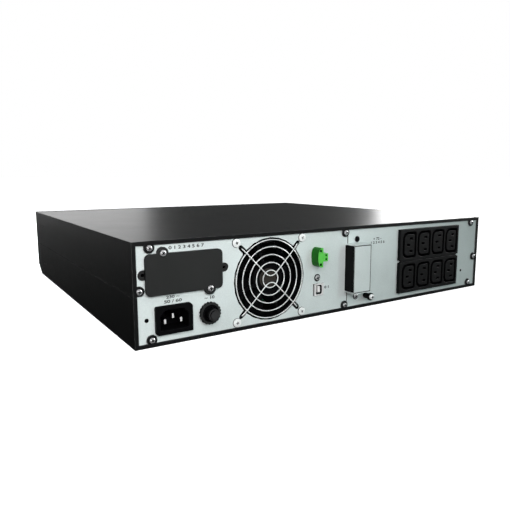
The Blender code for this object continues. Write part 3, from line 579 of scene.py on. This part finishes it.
def make_screws():
    """Case, slot, fan, board and port screws, and the head of the ground terminal."""
    for index in range(1, 9):
        screw("case_screw_%d" % index, SCREW, 17.0 + 33.0 * index)
    for index in range(1, 3):
        screw("slot_screw_%d" % index, SCREW, 41.0 * index)
    for index in range(1, 5):
        screw("fan_screw_%d" % index, FLAT_SCREW, 29.0 * index, 0.35, 0.36, 0.10)
    screw("board_screw", SCREW, 12.0)
    screw("port_screw_bottom", SCREW, 50.0)
    screw("port_screw_top", DEEP_BLACK_AND_SHADE, 35.0)
    screw("ground_terminal", FLAT_SCREW, 8.0, 0.6)


def make_guard():
    """Wire guard of the fan: five rings on two bent diagonals that loop round the screws."""
    low, high = extents("fan_guard")
    x, z = middle_of("fan_guard")
    wire = 0.5
    front, back, foot = high.y - 0.75, high.y - 1.85, low.y + 0.75
    shape = bmesh.new()
    for radius in (8.1, 15.3, 22.5, 29.8, 36.3):
        tube(shape, circle(x, z, radius, back, 96), wire, True)
    crook, drop, landing, end = 7.2, 29.6, 31.2, 34.0
    for side in (1, -1):
        path = [(-end, foot, end), (-landing, foot, landing), (-drop, front, drop), (-crook, front, crook)]
        for step in range(1, 6):
            turn = math.radians(-45 + 90 * step / 6)
            path.append((10.15 * math.sin(turn), front, crook - (math.cos(turn) - 0.7071) * 14.0))
        path += [(crook, front, crook), (drop, front, drop), (landing, foot, landing), (end, foot, end)]
        tube(shape, rounded_path([Vector((x + a, y, z + side * b)) for a, y, b in path]), wire)
    screw_at, loop = 35.75, 2.95
    for a in (-screw_at, screw_at):
        for b in (-screw_at, screw_at):
            tube(shape, circle(x + a, z + b, loop, foot, 32), wire, True)
    # Painted shade: wire faces behind the panel and out in the slots get the near-black recess finish.
    shaded_from = 42.8
    for face in shape.faces:
        spot = face.calc_center_median()
        if spot.y < PANEL - 1.0 or math.hypot(spot.x - x, spot.z - z) > shaded_from:
            face.material_index = 1
    made = piece("guard_wires", shape, WIRE, "fan_guard")
    made.data.materials.append(RECESS_SHADE)


def make_fan_housing():
    """Square fan frame with a flared round duct, and a hub on four struts."""
    low, high = extents("fan_frame")
    x, z = middle_of("fan_frame")
    half = (high.x - low.x) / 2
    back, face = low.y, high.y
    shape = bmesh.new()
    steps, offset = 96, 0.5
    outer = []
    for y in (back, face):
        ring = []
        for step in range(steps):
            turn = math.tau * (step + offset) / steps
            c, s = math.cos(turn), math.sin(turn)
            reach = min(half / max(abs(c), abs(s)), half * 1.28)
            ring.append((x + reach * c, y, z + reach * s))
        outer.append(add_ring(shape, ring))
    duct = ((38.8, back), (38.0, back + 1.5), (37.9, face - 4.0), (38.3, face - 1.5), (39.2, face))
    inner = [add_ring(shape, circle(x, z, radius, y, steps, offset)) for radius, y in duct]
    for first, second in zip([outer[1], outer[0]] + inner, [outer[0]] + inner + [outer[1]]):
        bridge(shape, first, second)
    hub = ((0.0, face - 3.2), (15.4, face - 3.2), (16.0, face - 2.6), (16.0, face - 0.9),
           (15.5, face - 0.4), (14.2, face - 0.4), (13.9, face - 0.8), (0.0, face - 0.8))
    lathe(shape, x, z, hub, 64)
    for step in range(4):
        strut = bmesh.new()
        block(strut, (-1.5, face - 3.0, 12.0), (1.5, face - 0.6, 38.6), 0.4)
        turn_into_place(strut, 20 + 90 * step, x, z)
        part = bpy.data.meshes.new("strut")
        strut.to_mesh(part)
        strut.free()
        shape.from_mesh(part)
        bpy.data.meshes.remove(part)
    piece("fan_housing", shape, DEEP_BLACK_AND_SHADE, "fan_frame")


def make_fan_label():
    """Round label in the middle of the fan's hub."""
    face = extents("fan_frame")[1].y
    x, z = middle_of("fan_frame")
    shape = bmesh.new()
    lathe(shape, x, z, ((0.0, face - 0.6), (9.2, face - 0.6), (9.3, face - 0.7), (9.3, face - 0.8)), 64)
    piece("fan_label", shape, HUB_LABEL)


def make_fan_blades():
    """Rotor hub with its swept blades."""
    low, high = extents("fan_rotor")
    x, z = middle_of("fan_frame")
    shape = bmesh.new()
    hub = ((0.0, high.y), (14.2, high.y), (15.0, high.y - 0.8),
           (15.0, low.y + 0.8), (14.2, low.y), (0.0, low.y))
    lathe(shape, x, z, hub, 64)
    blades = 7
    for blade in range(blades):
        add_blade(shape, x, z, low.y, high.y, math.tau * blade / blades)
    piece("fan_blades", shape, DEEP_BLACK_AND_SHADE, "fan_rotor", "fan")


def add_blade(shape, x, z, low, high, heading):
    """One bowed blade between two heights, from the hub out, with its root at a heading."""
    last, root, span, thickness = 8, 14.6, 21.6, 1.1
    grid = []
    for row in range(last + 1):
        out = row / last
        radius = root + span * out
        lean = math.radians(52 - 24 * out)
        chord = 15.0 + 5.0 * out
        line = []
        for column in range(last + 1):
            along = (column / last - 0.5) * chord
            bow = 1.6 * (1 - (2 * column / last - 1) ** 2)
            turn = heading + 0.30 * out ** 2 + along * math.cos(lean) / radius
            y = (low + high) / 2 + along * math.sin(lean) + bow * math.cos(lean)
            y = min(max(y, low + 0.4), high - 1.6)
            line.append((x + radius * math.sin(turn), y, z + radius * math.cos(turn)))
        grid.append(line)
    sheets = []
    for shift in (0.0, thickness):
        sheets.append([[shape.verts.new((a, y + shift, b)) for a, y, b in line] for line in grid])
    for sheet in sheets:
        for row in range(last):
            for column in range(last):
                shape.faces.new((sheet[row][column], sheet[row][column + 1],
                                 sheet[row + 1][column + 1], sheet[row + 1][column]))
    under, over = sheets
    rim = [(0, c) for c in range(last + 1)] + [(r, last) for r in range(1, last + 1)]
    rim += [(last, c) for c in range(last - 1, -1, -1)] + [(r, 0) for r in range(last - 1, 0, -1)]
    for (r0, c0), (r1, c1) in zip(rim, rim[1:] + rim[:1]):
        shape.faces.new((under[r0][c0], under[r1][c1], over[r1][c1], over[r0][c0]))


def print_mark(name, signs, x, z, height, width):
    """Numbers printed on the rear panel, centred on a point and stretched to a width."""
    curve = bpy.data.curves.new(name, "FONT")
    curve.body = signs
    curve.align_x = "CENTER"
    curve.align_y = "CENTER"
    curve.size = height * 1.37
    curve.offset = 0.035 * height
    curve.extrude = 0.02
    source = bpy.data.objects.new(name, curve)
    bpy.context.scene.collection.objects.link(source)
    bpy.context.view_layer.update()
    settled = source.evaluated_get(bpy.context.evaluated_depsgraph_get())
    mesh = bpy.data.meshes.new_from_object(settled)
    bpy.data.objects.remove(source)
    shape = bmesh.new()
    shape.from_mesh(mesh)
    bpy.data.meshes.remove(mesh)
    wide = max(v.co.x for v in shape.verts) - min(v.co.x for v in shape.verts)
    stretch = width / wide
    for vert in shape.verts:
        vert.co = Vector((x - vert.co.x * stretch, PANEL + PRINT_LIFT + vert.co.z, z + vert.co.y))
    piece(name, shape, INK)


def make_marks():
    """Numbers printed by the rear fittings."""
    print_mark("slot_numbers", "0 1 2 3 4 5 6 7", 172.3, 79.6, 2.7, 31.5)
    print_mark("inlet_numbers_upper", "230 ~", 185.5, 39.4, 2.5, 11.5)
    print_mark("inlet_numbers_lower", "50 / 60", 185.5, 35.7, 2.5, 15.5)
    print_mark("breaker_number", "~ 10", 152.2, 34.1, 2.7, 9.5)
    print_mark("port_number", "1 0 1", 24.3, 27.4, 2.6, 8.5)
    print_mark("battery_numbers_upper", "+ 72 -", -46.0, 71.1, 2.7, 12.0)
    print_mark("battery_numbers_lower", "1 2 3 4 5 6", -46.5, 67.2, 2.7, 20.0)


def make_seam_shade_strip():
    """Painted shade: a dark strip over the seam where the cover meets the tray, along the sides and round
    the rear corners.
    """
    rear, start = extents("base_tray")[1].y, extents("front_bezel")[1].y
    inset, half = 0.02, 0.55
    bottom, top, end = CASE_SEAM - half, CASE_SEAM + half, rear - inset
    shape = bmesh.new()
    for side in (-1, 1):
        skin, behind, inward = (side * (HALF - depth) for depth in (inset, 0.7, 3.2))
        block(shape, (min(skin, behind), start, bottom), (max(skin, behind), end, top), 0.0)
        block(shape, (min(skin, inward), rear - 0.7, bottom), (max(skin, inward), end, top), 0.0)
    piece("seam_shade_strip", shape, DEEP_BLACK_AND_SHADE)


def make_panel_joint_shade():
    """Painted shade: a dark strip in the joint of the two rear panels."""
    left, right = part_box("rear_panel_left")[0].x / MM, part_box("rear_panel_right")[1].x / MM
    low, high = extents("rear_panel_left")
    middle, half, margin = (left + right) / 2, 0.45, 3.5
    shape = bmesh.new()
    block(shape, (middle - half, high.y - 0.6, low.z + margin),
          (middle + half, high.y + PRINT_LIFT, high.z - margin), 0.0)
    piece("panel_joint_shade", shape, DEEP_BLACK_AND_SHADE)


def make_hole_and_rim_shade():
    """Painted shade: dark backs in two small holes and behind the slit by the data port, and dark rims
    round small screws.
    """
    shape = bmesh.new()
    for x, z, radius in ((208.2, 22.6, 1.8), (-190.4, 22.3, 1.6)):
        disc(shape, x, z, radius, PANEL - 1.4, PANEL - 0.1, 24)
    shade_rims = {"board_screw": 0.7, "port_screw_bottom": 0.5}
    shade_rims.update({"fan_screw_%d" % index: 0.3 for index in range(1, 5)})
    for name, rim in shade_rims.items():
        low, high = extents(name)
        disc(shape, *middle_of(name), (high.x - low.x) / 2 + rim, PANEL + 0.02, PANEL + 0.12, 32)
    low, high = extents("usb_shell")
    block(shape, (high.x + 0.2, PANEL - 1.3, low.z), (high.x + 1.1, PANEL - 0.7, high.z), 0.0)
    piece("hole_and_rim_shade", shape, DEEP_BLACK_AND_SHADE)


# Bars of a seven-segment digit, and each bar's place: across from the middle, and up in half heights.
DIGIT_BARS = {"0": "abcdef", "1": "bc", "2": "abged", "3": "abgcd", "5": "afgcd", "9": "abcdfg"}
BAR_SPOTS = {
    "a": (0, 2), "g": (0, 1), "d": (0, 0), "f": (-1, 1.5), "b": (1, 1.5), "e": (-1, 0.5), "c": (1, 0.5),
}


def segment_digits(shape, digits, x, z, height, y):
    """Seven-segment digits, read from the front, starting at x."""
    wide, bar = height * 0.5, height * 0.11
    gap = bar * 0.6
    for order, digit in enumerate(digits):
        centre = x + order * height * 0.78 + wide / 2
        for key in DIGIT_BARS[digit]:
            across, up = BAR_SPOTS[key]
            level = z + up * height / 2
            if across:
                place, reach, rise = centre + across * wide / 2, bar / 2, height / 4 - gap
            else:
                place, reach, rise = centre, wide / 2 - gap, bar / 2
            block(shape, (place - reach, y, level - rise),
                  (place + reach, y + SEGMENT_DEPTH, level + rise), 0.0)


def make_display():
    """Readings and level bars on the display window, and the dark lines along its edges."""
    low, high = extents("display_lens")
    y = low.y - 0.03
    front, back = low.y - 0.02, low.y + 0.1
    margin, line = 0.8, 0.4
    shape = bmesh.new()
    segment_digits(shape, "230", low.x + 4.0, low.z + 14.5, 8.5, y)
    segment_digits(shape, "50", low.x + 28.5, low.z + 14.5, 8.5, y)
    for start, bars in ((low.x + 4.0, 5), (low.x + 25.5, 2)):
        for step in range(bars):
            left = start + step * 3.4
            block(shape, (left, y, low.z + 4.5), (left + 2.4, y + SEGMENT_DEPTH, low.z + 9.5), 0.0)
        for level in (low.z + 3.2, low.z + 10.6):
            block(shape, (start - 0.9, y, level), (start + 17.0, y + SEGMENT_DEPTH, level + 0.3), 0.0)
    piece("display_readings", shape, SEGMENTS, body="display")
    shape = bmesh.new()
    for level in (low.z + margin, high.z - margin - line):
        block(shape, (low.x + margin, front, level), (high.x - margin, back, level + line), 0.0)
    piece("display_trim", shape, INK, body="display")


def sign_strokes(key, size):
    """Strokes of a key's sign, each a list of points across and up from the key's middle."""
    if key == "power":
        turns = [math.radians(120 + 300 * step / 24) for step in range(25)]
        ring = [(size * math.cos(turn), size * math.sin(turn)) for turn in turns]
        return [ring, [(0.0, 0.1), (0.0, size * 1.2)]]
    if key == "enter":
        shaft = [(size, size * 0.8), (size, -size * 0.3), (-size, -size * 0.3)]
        return [shaft, [(-size * 0.3, size * 0.4), (-size, -size * 0.3), (-size * 0.3, -size)]]
    way = 1 if key == "up" else -1
    return [[(-size, -size * 0.5 * way), (0.0, size * 0.6 * way), (size, -size * 0.5 * way)]]


def make_key_signs():
    """Raised signs on the four keys."""
    stroke, sunk = 0.16, 0.13
    for key in KEYS:
        low, high = extents("button_" + key)
        x, z = middle_of("button_" + key)
        shape = bmesh.new()
        for path in sign_strokes(key, (high.x - low.x) * 0.22):
            tube(shape, [Vector((x + a, low.y + sunk, z + b)) for a, b in path], stroke)
        piece("key_sign_" + key, shape, INK, body="key_" + key)


def make_battery_labels():
    """Plain labels on the four batteries, with numbers for voltage and capacity."""
    margin, half, height = 18.0, 42.0, 12.0
    for index in range(1, 5):
        name = "battery_%d" % index
        low, high = extents(name)
        x, y, top = (low.x + high.x) / 2, (low.y + high.y) / 2, high.z
        shape = bmesh.new()
        block(shape, (low.x + margin, y - half, top - 0.4), (high.x - margin, y + half, top + 0.08), 0.0)
        piece(name + "_label", shape, LABEL, body="battery_pack")
        shape = bmesh.new()
        segment_digits(shape, "12", 0.0, 0.0, height, 0.0)
        segment_digits(shape, "9", 2 * height, 0.0, height, 0.0)
        for vert in shape.verts:
            vert.co = Vector((x - 16.0 + vert.co.x, y - height / 2 + vert.co.z, top + 0.12 + vert.co.y))
        piece(name + "_numbers", shape, INK, body="battery_pack")


def light(name, place, target, size, power, colour=(1.0, 1.0, 1.0), mirrored=True, lights=True, spread=180):
    """Soft rectangular lamp aimed at a point. It may be left out of mirrors, or be seen only there."""
    data = bpy.data.lights.new(name, "AREA")
    data.shape = "RECTANGLE"
    data.size, data.size_y = size
    data.energy = power
    data.color = colour
    data.spread = math.radians(spread)
    lamp = bpy.data.objects.new(name, data)
    bpy.context.scene.collection.objects.link(lamp)
    lamp.location = place
    lamp.rotation_euler = (Vector(target) - Vector(place)).to_track_quat("-Z", "Y").to_euler()
    lamp.visible_camera = False
    lamp.visible_glossy = mirrored
    lamp.visible_diffuse = lights


def make_sky():
    """White backdrop that mirrors dim, and darker still below the horizon."""
    sky = bpy.data.worlds.new("studio")
    bpy.context.scene.world = sky
    sky.use_nodes = True
    tree = sky.node_tree
    back = tree.nodes["Background"]
    back.inputs["Color"].default_value = (1.0, 1.0, 1.0, 1.0)
    back.inputs["Strength"].default_value = 1.0
    way = tree.nodes.new("ShaderNodeTexCoord")
    split = tree.nodes.new("ShaderNodeSeparateXYZ")
    rise = tree.nodes.new("ShaderNodeMapRange")
    rise.interpolation_type = "SMOOTHSTEP"
    rise.inputs["From Min"].default_value = -0.24
    rise.inputs["From Max"].default_value = -0.11
    rise.inputs["To Min"].default_value = 0.004
    rise.inputs["To Max"].default_value = 0.075
    fill = tree.nodes.new("ShaderNodeBackground")
    fill.inputs["Color"].default_value = (0.97, 0.99, 1.0, 1.0)
    seen = tree.nodes.new("ShaderNodeLightPath")
    both = tree.nodes.new("ShaderNodeMixShader")
    tree.links.new(way.outputs["Generated"], split.inputs["Vector"])
    tree.links.new(split.outputs["Z"], rise.inputs["Value"])
    tree.links.new(rise.outputs["Result"], fill.inputs["Strength"])
    tree.links.new(seen.outputs["Is Camera Ray"], both.inputs["Fac"])
    tree.links.new(fill.outputs["Background"], both.inputs[1])
    tree.links.new(back.outputs["Background"], both.inputs[2])
    tree.links.new(both.outputs["Shader"], tree.nodes["World Output"].inputs["Surface"])


def make_floor():
    """Pale floor, evenly bright and left out of reflections."""
    shape = bmesh.new()
    bmesh.ops.create_grid(shape, x_segments=2, y_segments=2, size=30.0)
    mesh = bpy.data.meshes.new("floor")
    shape.to_mesh(mesh)
    shape.free()
    floor = bpy.data.objects.new("floor", mesh)
    floor.location.z = -0.0005
    bpy.context.scene.collection.objects.link(floor)
    floor.visible_glossy = False
    floor.visible_diffuse = False
    paint = Paint("floor_white")
    grain = paint.noise(300.0)
    paint.colour(paint.mix(paint.ramp(grain, 0.0, 1.0, 0.3, 0.7), (0.88, 0.88, 0.88), (0.92, 0.92, 0.92)))
    paint.roughness(paint.ramp(grain, 0.85, 0.95, 0.3, 0.7))
    paint.shader.inputs["Specular IOR Level"].default_value = 0.0
    paint.shader.inputs["Emission Color"].default_value = (1.0, 1.0, 1.0, 1.0)
    paint.shader.inputs["Emission Strength"].default_value = 0.9
    mesh.materials.append(paint.material)


def make_studio():
    """Soft lamps round the unit, and far lamps that only its lid, sides and screws mirror."""
    bpy.context.scene.view_settings.view_transform = "Standard"
    make_sky()
    make_floor()
    sun = bpy.data.lights.new("overcast", "SUN")
    sun.energy = 1.02
    sun.color = (0.90, 1.0, 0.98)
    sun.angle = math.radians(100)
    roof = bpy.data.objects.new("overcast", sun)
    bpy.context.scene.collection.objects.link(roof)
    roof.visible_glossy = False
    light("near_left", (0.285, 0.58, 0.22), (0.25, 0.2, 0.03), (0.4, 0.3), 2.55, (1.0, 0.96, 0.97),
          mirrored=False)
    light("key", (-0.50, 1.10, 0.34), (0.13, 0.2, 0.04), (0.3, 0.3), 0.46, (0.75, 1.0, 0.97),
          mirrored=False, spread=75)
    light("spark", (-2.0, 0.45, 0.8), (0.0, 0.2, 0.05), (1.2, 0.9), 42.0, lights=False)
    light("front_fill", (0.35, -1.2, 0.55), (0.0, -0.2, 0.03), (0.8, 0.5), 16.0, mirrored=False)
    light("card_back", (2.2, 1.9, 0.8), (0.0, 0.0, 0.05), (1.4, 0.7), 16.0, lights=False)
    light("card_left", (0.15, -2.5, 0.42), (0.1, 0.0, 0.08), (1.9, 0.8), 11.5, lights=False)
    light("card_right", (-3.05, -1.9, 0.50), (-0.1, 0.1, 0.08), (1.2, 1.0), 40.0, lights=False)


make_camera()
dress_nodes()
make_screws()
make_guard()
make_fan_housing()
make_fan_label()
make_fan_blades()
make_marks()
make_seam_shade_strip()
make_panel_joint_shade()
make_hole_and_rim_shade()
make_display()
make_key_signs()
make_battery_labels()
make_studio()
